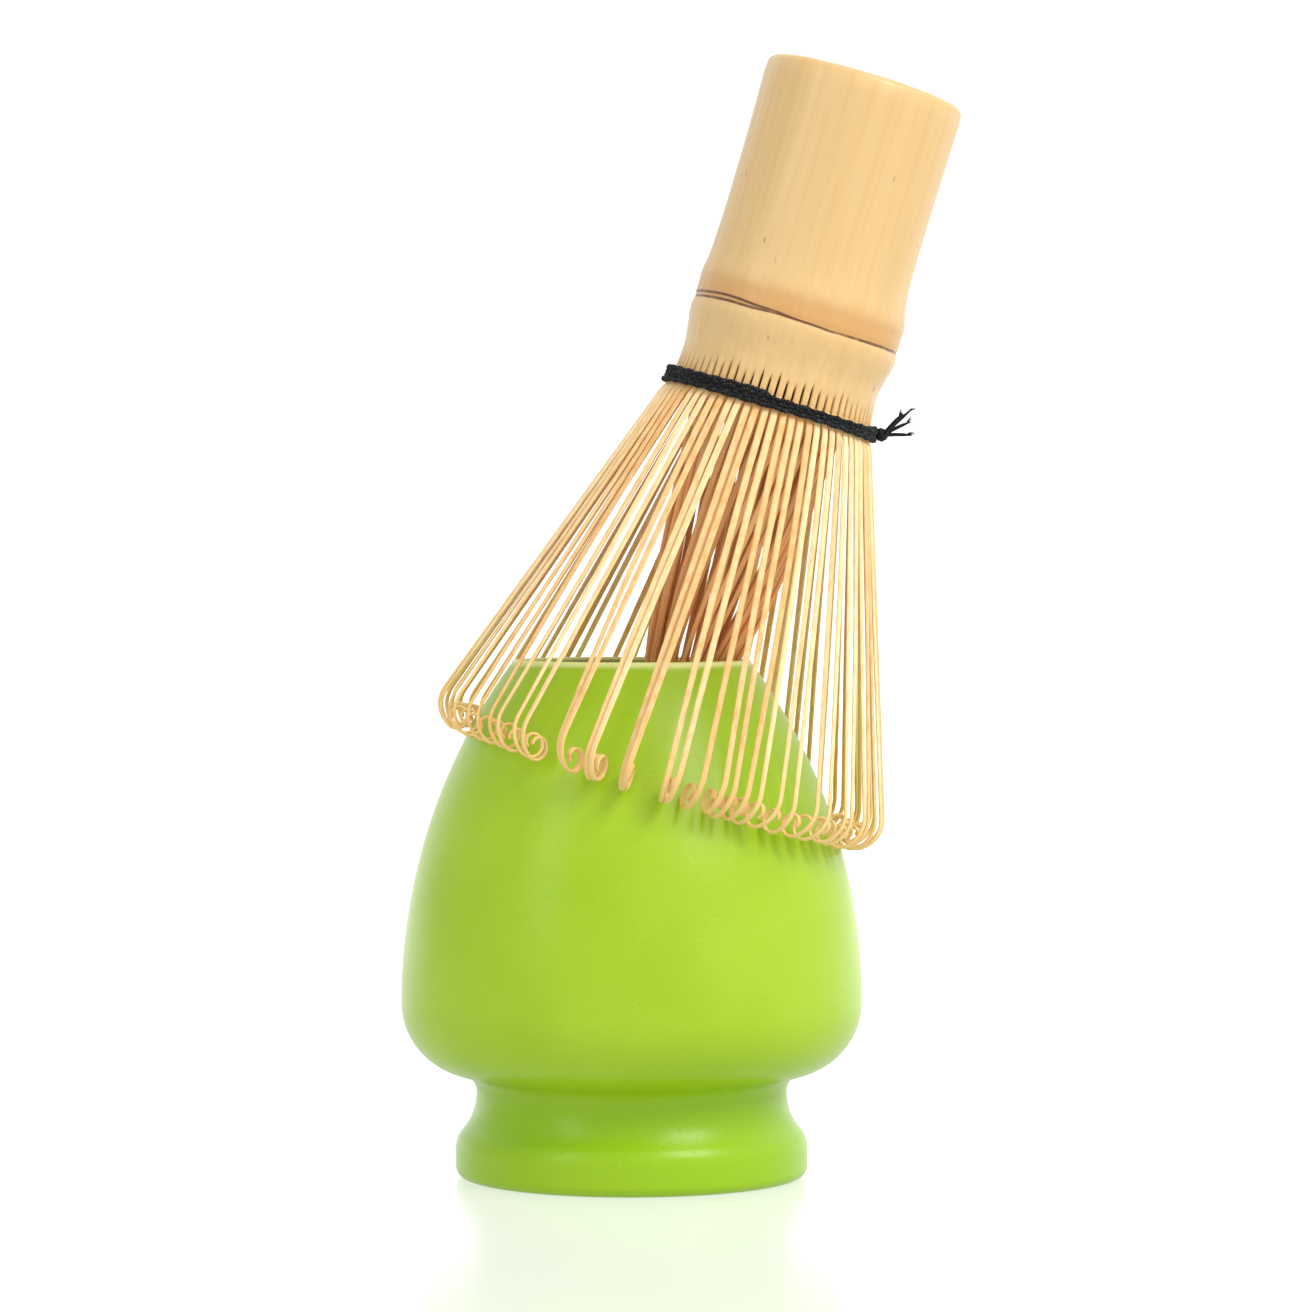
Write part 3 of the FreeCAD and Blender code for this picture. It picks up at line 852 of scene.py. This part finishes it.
@dataclass(frozen=True)
class CulmHandle:
    """Length of culm cut above its node, its lower skirt slit into the tines' roots."""

    bore: float = 10.7
    end: float = 48.8
    node: float = 12.2
    tines: int = 72
    columns_per_tine: int = 6
    slit_depth: float = 0.9
    slit_tops: Point = (4.2, 5.2)
    slit_taper: float = 2.8
    # points nearer the axis than this belong to the bore
    skin_from: float = 11.9

    def profile(self) -> list[Point]:
        """Half section from the diaphragm, up the bore, over the end and down the skin.

        Returns:
            Points of radius and height.
        """
        bore = self.bore
        points = [(0.0, self.node + 1.5), (bore - 1.5, self.node + 1.6), (bore, self.node + 2.8)]
        points += [(bore + 0.1 * math.sin(z), float(z)) for z in range(18, 48, 5)]
        points += [(bore + 0.1, self.end - 0.5), (bore + 0.5, self.end)]
        points += [(13.2, self.end), (13.75, self.end - 0.12), (14.15, self.end - 0.45)]
        skin = [
            (0.3, 14.85), (1.6, 14.8), (3.0, 14.6), (4.4, 14.5), (6.0, 14.5), (7.4, 14.7),
            (8.6, 14.95), (9.6, 15.15), (10.6, 15.26), (11.4, 15.28), (11.9, 15.12),
            (12.2, 14.98), (12.5, 15.02), (13.0, 15.16), (13.8, 15.1), (14.6, 15.12),
            (15.6, 15.22), (16.6, 15.1), (18.0, 14.8), (20.0, 14.55), (24.0, 14.42),
            (32.0, 14.4), (40.0, 14.45), (46.0, 14.55), (47.9, 14.42), (48.1, 14.36),
        ]
        heights = [47.9, 46.0, 43.0, 40.0, 36.0, 32.0, 28.0, 24.0, 22.0, 20.0, 18.6, 17.6]
        heights += [16.8 - 0.4 * step for step in range(26)]
        heights += [6.2, 5.6]
        heights += [5.1 - 0.25 * step for step in range(19)]
        radii = along_table(skin, np.array(heights))
        points += [(float(r), z) for r, z in zip(radii, heights)]
        points += [(12.4, 0.3), (bore + 1.0, 0.3), (0.0, 1.0)]
        return points

    def build(self, skin: bpy.types.Material) -> None:
        """Shapes the handle and dresses it.

        Args:
            skin: Its material.
        """
        count = self.tines * self.columns_per_tine
        piece = Workpiece.lathed("carved_handle", self.profile(), count)
        rng = random.Random(11)
        tops = [rng.uniform(*self.slit_tops) for _ in range(self.tines)]
        rows = piece.points()
        slit_shade = np.zeros(len(rows))
        for index, (x, y, z) in enumerate(rows):
            radius, turn = math.hypot(x, y), math.atan2(y, x)
            if radius < self.skin_from:
                continue
            # culms are never quite round, and the node is heavier on one side
            swell = 0.10 * math.sin(2 * turn + 0.9) * smooth(4, 12, z)
            swell += 0.22 * math.cos(turn) * smooth(6, 11, z) * smooth(22, 15, z)
            grit = noise.noise(Vector((x * 0.16, y * 0.16, z * 0.05)))
            swell += 0.12 * grit + 0.06 * noise.noise(Vector((x, y, z * 0.6)))
            column = round((turn % (2 * math.pi)) / (2 * math.pi) * count)
            tine, part = divmod(column % count, self.columns_per_tine)
            if part == 0 and z < tops[tine]:
                depth = smooth(tops[tine], tops[tine] - self.slit_taper, z)
                swell -= self.slit_depth * depth
                slit_shade[index] = depth
            elif z < 4.4:
                # each tine's shoulder is eased towards its slits
                swell -= 0.06 * abs(part - self.columns_per_tine // 2) * smooth(4.4, 1.4, z)
            rows[index, 0] += swell * x / radius
            rows[index, 1] += swell * y / radius
        piece.mould(rows)
        # the slit share also tells the skin's material where to paint shade into the slits
        piece.mark("slit", slit_shade)
        finish_piece(piece, Slot.SKIN, ["handle"], [skin], 38)


# ---- outer tines

@dataclass(frozen=True)
class Curl:
    """How one tine's tip is curled: bends of ever smaller radius.

    Attributes:
        bend: Radius of the first, open bend.
        hook: Radius of the hook.
        coil: Radius of the inmost turn.
        coil_turn: Angle of the inmost turn, in degrees.
    """

    bend: float
    hook: float
    coil: float
    coil_turn: float


@dataclass(frozen=True)
class OuterTines:
    """Ring of springy outer tines, split from the culm and curled at their tips."""

    count: int = 72
    sectors: int = 12
    root: float = 15.1
    top: float = 1.0
    hold: float = 1.2
    spread: float = 18.5
    straight: float = 52.84
    width: float = 1.02
    thickness: float = 0.42
    edge: float = 0.17
    # the tip is shaved narrower than the root by this share
    narrowing: float = 0.18
    # what the bends of root and tip add to a tine's length, roughly
    tip_length: float = 3.0
    # radius and height of the point where the straight run starts
    bend_end: Point = (16.1, -2.49)
    hinge: float = 15.0
    curls: tuple[Curl, ...] = (
        Curl(4.5, 1.9, 1.3, 170), Curl(4.6, 1.8, 1.25, 150),
        Curl(4.4, 1.95, 1.35, 185), Curl(4.5, 1.85, 1.3, 120),
    )
    # between these angles the tips stand in pairs, one before the other, by these springs
    paired: Point = (235.0, 310.0)
    pair_springs: Point = (-0.45, 0.4)
    # how unlike its neighbours a tine is: swing and springs in degrees, sway in millimetres
    swing_scatter: float = 5.0
    spring_scatter: float = 0.25
    low_scatter: float = 0.3
    sway_scatter: float = 0.25
    # the tines on the low side stand out to clear the holder
    low_spring: float = 0.7
    tints: Point = (-0.1, 0.7)
    # angles to which the front tines' tips have drifted, one for each root from the first on
    first_drift: float = 197.5
    drifts: tuple[float, ...] = (
        199.0, 205.0, 211.5, 215.2, 220.5, 224.2, 229.2, 232.0, 242.3, 243.8, 250.5, 251.9,
        260.2, 261.6, 271.0, 273.8, 280.0, 284.8, 288.2, 291.4, 295.8, 301.0, 306.0, 312.0,
    )
    # how far each tine's curl has swung round its own line, against the angle of its root
    swings: tuple[Point, ...] = (
        (180, 0), (200, -15), (212, -30), (222, -38), (235, -34), (243, -16), (252, -8),
        (262, -3), (272, 4), (285, 14), (300, 24), (320, 18), (345, 0), (360, 0),
    )

    def prototype(self, curl: Curl, number: int) -> Workpiece:
        """Models one tine on +X: a strip pulled and spun along its route, then thickened.

        Args:
            curl: Shape of its tip.
            number: Number of the prototype.

        Returns:
            The tine, with its place along the tine stored on it.
        """
        piece = Workpiece.strip(
            f"tine_pattern_{number}", self.width, self.hold, self.top, self.root
        )
        place, heading, length = Vector((self.root, 0, self.top - self.hold)), 0.0, self.hold
        route = [(self.root, self.top, 0.0), (place.x, place.z, length)]
        # length or radius, bend in degrees and steps of each stretch
        for size, bend, steps in (
            (1.6, 36.0, 4), (5.0, self.spread - 36.0, 3), (self.straight, 0.0, 7),
            (curl.bend, -75.0, 7), (curl.hook, -190.0, 12), (curl.coil, -curl.coil_turn, 9),
        ):
            turn, out = math.radians(heading), math.copysign(size, bend)
            way = Vector((math.sin(turn), 0, -math.cos(turn))) * (size / steps)
            centre = place + Vector((math.cos(turn), 0, math.sin(turn))) * out
            if bend:
                bpy.ops.mesh.spin(
                    steps=steps, angle=math.radians(bend), center=centre, axis=(0, 1, 0)
                )
                piece.pick_last(2)
            for step in range(1, steps + 1):
                if bend:
                    turn = math.radians(heading + bend * step / steps)
                    place = centre - Vector((math.cos(turn), 0, math.sin(turn))) * out
                    length += size * math.radians(abs(bend)) / steps
                else:
                    piece.pull(way)
                    place, length = place + way, length + size / steps
                route.append((place.x, place.z, length))
            heading += bend
        line = np.array(route)
        line[:, 2] /= self.hold + self.straight + self.tip_length
        piece.rest()
        rows = piece.points()
        share = self.share_along(rows, line)
        rows[:, 1] *= 1 - self.narrowing * np.clip(share, 0, 1.2)
        piece.mould(rows)
        piece.thicken(self.thickness, self.edge)
        piece.mark("along", self.share_along(piece.points(), line))
        for polygon in piece.obj.data.polygons:
            split = abs(polygon.normal.y) > 0.5
            polygon.material_index = (Face.SPLIT if split else Face.SHAVED).value
        return piece

    @staticmethod
    def share_along(rows: np.ndarray, line: np.ndarray) -> np.ndarray:
        """Finds how far along its tine each vertex lies.

        Args:
            rows: Vertices.
            line: Route of the tine.

        Returns:
            0 at the root, 1 where the tip starts to bend and more in the curl.
        """
        across = rows[:, None, 0] - line[None, :, 0]
        down = rows[:, None, 2] - line[None, :, 1]
        return line[np.argmin(across**2 + down**2, axis=1), 2]

    def placed(self, pattern: Workpiece, index: int, rng: random.Random) -> Workpiece:
        """Copies a pattern to its place in the ring, with a life of its own.

        Args:
            pattern: The modelled tine.
            index: Number of the tine.
            rng: Seeded source of variation.

        Returns:
            The placed tine.
        """
        piece = pattern.copied(f"tine_{index}")
        rows = piece.points()
        share = np.empty(len(rows), dtype=np.float32)
        piece.obj.data.attributes["along"].data.foreach_get("value", share)
        root_turn = (index - 2.5) * 360 / self.count
        here = root_turn % 360
        low_side = max(0.0, -math.cos(math.radians(root_turn)))
        # the curl swings about the line of the tine
        swing = along_table(self.swings, here) + rng.gauss(0, self.swing_scatter)
        swing = math.radians(swing) * np.clip(share, 0, 1) ** 2
        tilt = math.radians(self.spread)
        axis = np.array([math.sin(tilt), 0, -math.cos(tilt)])
        normal = np.array([math.cos(tilt), 0, math.sin(tilt)])
        start = np.array([self.bend_end[0], 0, self.bend_end[1]])
        away = rows - start
        run = away @ axis
        out, side = turned(away @ normal, rows[:, 1], swing)
        rows = start + run[:, None] * axis + out[:, None] * normal
        sway = rng.gauss(0, self.sway_scatter)
        rows[:, 1] = side + sway * np.sin(np.clip(share, 0, 1) * math.pi)
        # its spring: a little further out or in than its neighbours
        if low_side > 0.4:
            spring = abs(rng.gauss(0, self.low_scatter))
        else:
            spring = rng.gauss(0, self.spring_scatter)
        if self.paired[0] < here < self.paired[1]:
            spring += self.pair_springs[index % 2]
        below = rows[:, 2] < 0
        spring = math.radians(spring + self.low_spring * low_side)
        sprung = turned(rows[below, 0] - self.hinge, rows[below, 2], spring)
        rows[below, 0], rows[below, 2] = self.hinge + sprung[0], sprung[1]
        drift = self.drift(here, index, rng)
        turn = np.radians(root_turn + drift * np.clip(share, 0, 1) ** 1.3)
        rows[:, 0], rows[:, 1] = turned(rows[:, 0], rows[:, 1], turn)
        piece.mould(rows)
        piece.mark("tint", np.full(len(rows), rng.uniform(*self.tints)))
        return piece

    def drift(self, here: float, index: int, rng: random.Random) -> float:
        """Angle by which a tine's tip has wandered round the ring, in degrees.

        Args:
            here: Angle of its root, from 0 to 360 degrees.
            index: Number of the tine.
            rng: Seeded source of variation.

        Returns:
            The drift.
        """
        wander = rng.gauss(0, 0.35) + (0.85 if index % 2 else -0.85) * rng.uniform(0.2, 1)
        place = round((here - self.first_drift) * self.count / 360)
        return self.drifts[place] - here if 0 <= place < len(self.drifts) else wander

    def build(self, faces: Sequence[bpy.types.Material]) -> None:
        """Models the ring, one piece for each sprung sector.

        Args:
            faces: Materials of the shaved and the split faces.
        """
        patterns = [self.prototype(curl, number) for number, curl in enumerate(self.curls, 1)]
        rng = random.Random(5)
        each = self.count // self.sectors
        for sector in range(self.sectors):
            tines = []
            for index in range(sector * each, (sector + 1) * each):
                tines.append(self.placed(rng.choice(patterns), index, rng))
            tag = f"tines_{sector + 1:02d}"
            piece = joined(tines, f"sprung_{tag}")
            finish_piece(piece, Slot.TINE, [f"outer_{tag}"], faces, 35, tag)
        for pattern in patterns:
            pattern.discard()


# ---- inner tines

@dataclass(frozen=True)
class InnerBundle:
    """Inner tines, drawn together and twisted into a bundle that hangs in the mouth."""

    count: int = 48
    groups: int = 8
    top: float = 0.2
    length: float = 52.0
    steps: int = 16
    thickness: float = 0.5
    edge: float = 0.06
    twist: float = -28.0
    # height below the thread against the bundle's radius, tip first
    radii: tuple[Point, ...] = (
        (-52.0, 4.9), (-44.0, 5.6), (-38.0, 6.75), (-33.0, 7.7), (-28.0, 8.7),
        (-17.0, 10.0), (-8.0, 10.7), (0.0, 11.2),
    )
    # height against the width of one strip
    widths: tuple[Point, ...] = ((-52.0, 0.38), (-38.0, 0.6), (-17.0, 0.78), (0.0, 1.05))

    def pattern(self) -> Workpiece:
        """Models one straight strip, thickened, with its faces in the plane x = 0.

        Returns:
            The strip.
        """
        step = self.length / self.steps
        piece = Workpiece.strip("strip_pattern", 1.0, step, self.top)
        for _ in range(self.steps - 1):
            piece.pull((0, 0, -step))
        piece.rest()
        piece.thicken(self.thickness, self.edge)
        return piece

    def placed(self, pattern: Workpiece, index: int, rng: random.Random) -> Workpiece:
        """Bends a copy of the strip into its place in the bundle.

        Args:
            pattern: The straight strip.
            index: Number of the strip.
            rng: Seeded source of variation.

        Returns:
            The placed strip.
        """
        piece = pattern.copied(f"strip_{index}")
        rows = piece.points()
        z = rows[:, 2]
        share = (self.top - z) / self.length
        loose = np.sin(np.clip(share, 0, 1) * math.pi)
        layer = (-0.42 if index % 2 else 0.0) * np.clip(share * 1.6, 0, 1)
        layer = layer + rng.uniform(-0.9, 0.1) * loose
        radius = along_table(self.radii, z) + layer + rows[:, 0]
        width = along_table(self.widths, z)
        wander = math.radians(rng.gauss(0, 4.5)) * loose
        turn = math.radians((index + 0.5) * 360 / self.count - 180 / self.count)
        turn = turn + math.radians(self.twist) * np.clip(share, 0, 1) ** 1.4 + wander
        # the rim pushes the bundle off the middle where it enters the mouth
        shift = -0.55 * np.clip((-20 - z) / 18, 0, 1)
        rows[:, 0], rows[:, 1] = turned(radius, rows[:, 1] * width, turn)
        rows[:, 0] += shift
        piece.mould(rows)
        piece.mark("along", share)
        piece.mark("tint", np.full(len(rows), rng.uniform(0, 0.6)))
        return piece

    def build(self, bamboo: bpy.types.Material) -> None:
        """Models the bundle, one piece for each group of strips.

        Args:
            bamboo: Its material.
        """
        pattern = self.pattern()
        rng = random.Random(23)
        each = self.count // self.groups
        for group in range(self.groups):
            strips = [
                self.placed(pattern, index, rng)
                for index in range(group * each, (group + 1) * each)
            ]
            tag = f"tines_{group + 1}"
            piece = joined(strips, f"gathered_{tag}")
            finish_piece(piece, Slot.INNER, [f"inner_{tag}"], [bamboo], 35)
        pattern.discard()


# ---- binding

@dataclass(frozen=True)
class Binding:
    """Black thread wound round the tines' roots, with its knot and trimmed tails."""

    radius: float = 15.55
    thread: float = 0.33
    pitch: float = 0.57
    lowest: float = -0.57
    # the lowest round lies on the roots' flare
    flare: float = 0.27
    rounds: int = 4
    weave: int = 72
    segments: int = 792
    sides: int = 8
    open_from: float = 268.0
    open_to: float = 352.0
    knot_height: float = 0.57
    knot_seed: int = 7

    def wound(self, number: int) -> Workpiece:
        """Models one round of two-ply thread that rides over and under the tines.

        Args:
            number: Number of the round, from the lowest.

        Returns:
            The round.
        """
        start = (self.radius + self.thread, 0.0)
        ring = arc_points((self.radius, 0), self.thread, 0, 360, self.sides)
        piece = Workpiece.lathed(f"wound_thread_{number}", [start] + ring, self.segments)
        rows = piece.points()
        turn = np.arctan2(rows[:, 1], rows[:, 0])
        out = np.hypot(rows[:, 0], rows[:, 1]) - self.radius
        rise = rows[:, 2]
        plies = 1 + 0.2 * np.cos(2 * (np.arctan2(rise, out) - 110 * turn))
        phase = math.pi * (number % 2)
        ride = 0.10 * np.cos(self.weave * turn + phase)
        radius = self.radius + out * plies + ride + (self.flare if number == 1 else 0)
        level = self.lowest + self.pitch * (number - 1)
        lie = 0.07 * np.sin(self.weave * turn / 2 + number) + 0.05 * np.sin(5 * turn + number)
        height = rise * plies + level + lie
        piece.mould(np.stack([radius * np.cos(turn), radius * np.sin(turn), height], 1))
        if number == self.rounds:
            self.cut_open(piece)
        return piece

    def cut_open(self, piece: Workpiece) -> None:
        """Takes the stretch out of the last round where the thread has already tucked under.

        Args:
            piece: The last round.
        """
        rows = piece.points()
        turn = np.degrees(np.arctan2(rows[:, 1], rows[:, 0])) % 360
        near = np.minimum(np.abs(turn - self.open_from), np.abs(turn - self.open_to))
        tuck = np.clip(1 - near / 5, 0, 1)
        inward = 1 - 0.012 * tuck
        rows[:, 0] *= inward
        rows[:, 1] *= inward
        rows[:, 2] -= 0.45 * tuck
        piece.mould(rows)
        piece.edit()

        def cut(vertex: bmesh.types.BMVert) -> bool:
            angle = math.degrees(math.atan2(vertex.co.y, vertex.co.x)) % 360
            return self.open_from < angle < self.open_to

        piece.pick(cut)
        bpy.ops.mesh.delete(type="VERT")
        bpy.ops.mesh.select_all(action="DESELECT")
        bpy.ops.mesh.select_non_manifold()
        bpy.ops.mesh.edge_face_add()
        piece.rest()

    def knot(self) -> Workpiece:
        """Models the knot: a lump with a turn of thread pulled tight round it.

        Returns:
            The knot.
        """
        middle = (self.radius + self.thread + 0.75, 0, self.knot_height)
        parts = [Workpiece.primitive(
            "tied_knot", bpy.ops.mesh.primitive_ico_sphere_add,
            subdivisions=3, radius=0.78, location=middle,
        )]
        for tilt, spin, size in ((0.5, 0.3, 0.72), (1.25, -0.5, 0.66), (0.2, 1.2, 0.7)):
            parts.append(Workpiece.primitive(
                "knot_turn", bpy.ops.mesh.primitive_torus_add,
                major_radius=size, minor_radius=0.34, major_segments=36, minor_segments=10,
                location=middle, rotation=(tilt, spin, 0),
            ))
        piece = joined(parts, "tied_knot")
        bpy.ops.object.transform_apply(location=True, rotation=True, scale=True)
        rows = piece.points()
        noise.seed_set(self.knot_seed)
        for index, row in enumerate(rows):
            rows[index] += 0.07 * noise.noise_vector(Vector(row) * 2.3)
        piece.mould(rows)
        return piece

    def tails(self) -> Workpiece:
        """Models the trimmed ends, each frayed into a few fibres.

        Returns:
            The tails.
        """
        start = Vector((self.radius + self.thread + 1.0, 0, self.knot_height))
        rng = random.Random(3)
        aims = ((17, -40, 5.0), (30, -12, 5.6), (43, 14, 4.6), (66, 30, 4.2))
        strands = []
        for slant, side, length in aims:
            tilt, swing = math.radians(slant), math.radians(side)
            aim = Vector((math.sin(tilt), math.cos(tilt) * math.sin(swing),
                          math.cos(tilt) * math.cos(swing)))
            strands.append(self.strand(start, aim, length, 0.29, rng))
            for _ in range(5):
                stray = Vector((rng.gauss(0, 0.22), rng.gauss(0, 0.22), rng.gauss(0, 0.22)))
                tip = start + aim * (length - 0.5)
                strands.append(
                    self.strand(tip, (aim + stray).normalized(), rng.uniform(0.7, 1.3), 0.07, rng)
                )
        return joined(strands, "cut_tails")

    @staticmethod
    def strand(
        start: Vector, aim: Vector, length: float, radius: float, rng: random.Random
    ) -> Workpiece:
        """Pulls one round strand out of a small circle, drooping and thinning as it goes.

        Args:
            start: Where it begins.
            aim: Its direction.
            length: Its length.
            radius: Its radius at the root.
            rng: Seeded source of variation.

        Returns:
            The strand.
        """
        steps = 7
        piece = Workpiece.primitive(
            "strand", bpy.ops.mesh.primitive_circle_add, vertices=8, radius=radius,
            fill_type="NGON", location=start, rotation=aim.to_track_quat("Z", "Y").to_euler(),
        )
        bpy.ops.object.transform_apply(location=True, rotation=True, scale=True)
        piece.edit()
        bend = Vector((rng.gauss(0, 0.03), rng.gauss(0, 0.03), -0.03))
        place = start.copy()
        for step in range(steps):
            way = (aim + bend * step).normalized() * (length / steps)
            place = place + way
            piece.pull(way)
            thin = 0.97 if step < steps - 2 else 0.7
            bpy.ops.transform.resize(value=(thin, thin, thin), center_override=place)
        piece.face_outwards()
        return piece

    def build(self, cotton: bpy.types.Material) -> None:
        """Winds the rounds and ties the knot.

        Args:
            cotton: The thread's material.
        """
        pieces = [
            (self.wound(number), f"thread_round_{number}") for number in range(1, self.rounds + 1)
        ]
        pieces += [(self.knot(), "thread_knot"), (self.tails(), "thread_tails")]
        for piece, node in pieces:
            finish_piece(piece, Slot.THREAD, [node], [cotton], 60)


# ---- studio

@dataclass(frozen=True)
class Studio:
    """White sweep, soft light from the upper right and a long lens at table height."""

    distance: float = 0.700
    camera_height: float = 0.092
    target: tuple[float, float, float] = (0.00355, 0.0, 0.0755)
    lens: float = 132.5
    aim: tuple[float, float, float] = (0.005, 0.0, 0.08)
    # the sweep: its width, the half depth of its flat, its bend's radius and its wall
    sweep_width: float = 5.0
    flat: float = 1.3
    bend: float = 0.8
    wall: float = 1.2
    sky_left: float = 0.72
    sky_right: float = 1.1

    def sweep(self, board: bpy.types.Material) -> None:
        """Builds the floor that curves up into the background.

        Args:
            board: Its material.
        """
        piece = Workpiece.primitive("sweep_board", bpy.ops.mesh.primitive_plane_add, size=1)
        piece.edit()
        size = (self.sweep_width, 2 * self.flat, 1)
        bpy.ops.transform.resize(value=size, center_override=(0, 0, 0))
        piece.pick(lambda vertex: vertex.co.y > 0)
        bpy.ops.mesh.spin(
            steps=16, angle=-math.pi / 2, center=(0, self.flat, self.bend), axis=(1, 0, 0)
        )
        piece.pick_last(2)
        piece.pull((0, 0, self.wall))
        piece.rest()
        piece.obj.data.materials.append(board)
        bpy.ops.object.shade_smooth()

    def lamp(
        self, name: str, place: Vector, size: tuple[float, float], watts: float, tint: str
    ) -> None:
        """Hangs one softbox, aimed at the whisk.

        Args:
            name: Name of the lamp.
            place: Where it hangs, in metres.
            size: Width and height of the box.
            watts: Its power.
            tint: Its colour.
        """
        light = bpy.data.lights.new(name, "AREA")
        light.shape = "RECTANGLE"
        light.size, light.size_y = size
        light.energy = watts
        light.color = colour(tint)[:3]
        obj = bpy.data.objects.new(name, light)
        bpy.context.collection.objects.link(obj)
        obj.location = place
        aim = Vector(self.aim) - place
        obj.rotation_euler = aim.to_track_quat("-Z", "Y").to_euler()

    def camera(self) -> None:
        """Sets up the camera."""
        lens = bpy.data.cameras.new("camera")
        lens.lens = self.lens
        lens.sensor_width = 36
        obj = bpy.data.objects.new("camera", lens)
        bpy.context.collection.objects.link(obj)
        target = Vector(self.target)
        obj.location = Vector((target.x, -self.distance, self.camera_height))
        obj.rotation_euler = (target - obj.location).to_track_quat("-Z", "Y").to_euler()
        bpy.context.scene.camera = obj

    def build(self, board: bpy.types.Material) -> None:
        """Sets the whole studio.

        Args:
            board: Material of the sweep.
        """
        self.sweep(board)
        self.lamp("key_softbox", Vector((0.62, -0.55, 0.85)), (0.5, 0.5), 7.0, "FFFBF4")
        self.lamp("strip_softbox", Vector((-0.70, -0.67, 0.55)), (0.26, 0.7), 1.4, "FFFCF6")
        world = bpy.data.worlds.new("studio")
        bpy.context.scene.world = world
        world.use_nodes = True
        tree = world.node_tree
        tree.nodes.clear()
        aside = add_node(tree, "SeparateXYZ", {
            "Vector": add_node(tree, "TexCoord").outputs["Generated"]
        }).outputs["X"]
        strength = add_node(tree, "MapRange", {
            "Value": aside, "From Min": -0.6, "From Max": 0.8,
            "To Min": self.sky_left, "To Max": self.sky_right,
        }, interpolation_type="SMOOTHSTEP").outputs[0]
        room = add_node(tree, "Background", {"Color": (1, 1, 1, 1), "Strength": strength})
        add_node(tree, "OutputWorld", {"Surface": room.outputs[0]})
        bpy.context.scene.view_settings.view_transform = "Standard"
        self.camera()


def main() -> None:
    """Builds the whole set."""
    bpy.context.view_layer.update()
    Studio().build(SweepBoard().make())
    Holder().build(Glaze().make())
    CulmHandle().build(CulmSkin().make())
    OuterTines().build([TineFace(face).make() for face in Face])
    InnerBundle().build(InnerTine().make())
    Binding().build(CottonThread().make())


if __name__ == "__main__":
    main()
